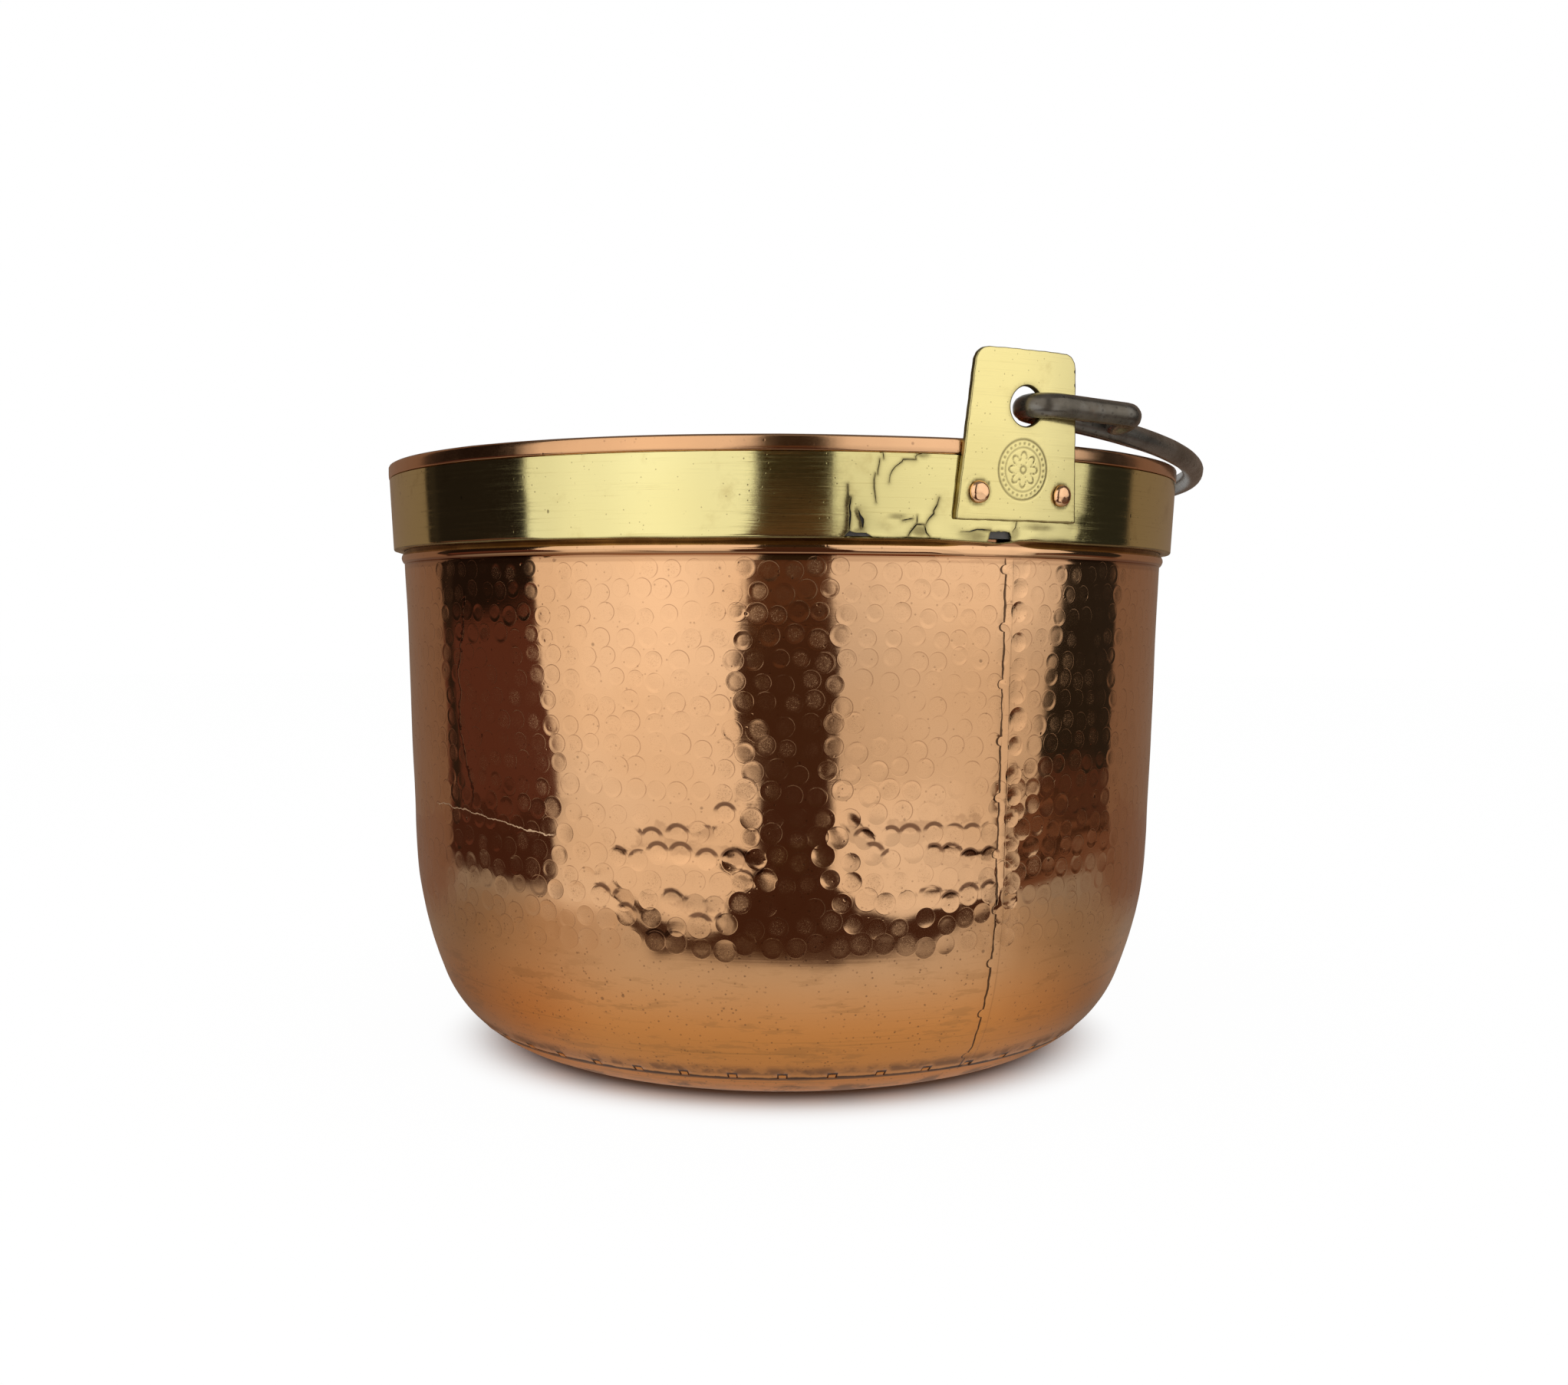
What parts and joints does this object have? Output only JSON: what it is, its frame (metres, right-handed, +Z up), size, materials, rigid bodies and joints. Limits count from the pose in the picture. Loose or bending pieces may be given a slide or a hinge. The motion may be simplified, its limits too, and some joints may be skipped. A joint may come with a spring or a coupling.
{
  "type": "copper cauldron",
  "caption": "Hammered copper cauldron with a castellated bottom seam, a brass-clad rim hoop, riveted brass ears and a swinging iron bail.",
  "frame": {"origin": "centre of the flat base, on the surface that the cauldron stands on", "axes": "+Z up out of the mouth; the bail's hinge axis runs along Y, the front ear is at -Y, and the bail leans back over +X"},
  "size_m": [0.4374, 0.4572, 0.342],
  "materials": {
    "copper": "hammered and polished copper",
    "copper_pan": "polished copper",
    "hoop_iron": "dark wrought iron",
    "band_brass": "polished brass sheet",
    "ear_brass": "polished brass plate",
    "rivet_copper": "hammered copper",
    "bail_iron": "forged, waxed iron"
  },
  "bodies": {
    "kettle": {"side_wall": "copper", "bottom_pan": "copper_pan", "iron_hoop": "hoop_iron", "brass_band": "band_brass", "ear_front": "ear_brass", "ear_rear": "ear_brass", "rivet_front_left": "rivet_copper", "rivet_front_right": "rivet_copper", "rivet_rear_left": "rivet_copper", "rivet_rear_right": "rivet_copper"},
    "bail": {"bail": "bail_iron"}
  },
  "joints": [
    {"name": "bail_swing", "type": "hinge", "parent": "kettle", "child": "bail", "pos_m": [0.0023, 0, 0.3179], "axis": [0, -1, 0], "range_deg": [0, 189.22]}
  ]
}
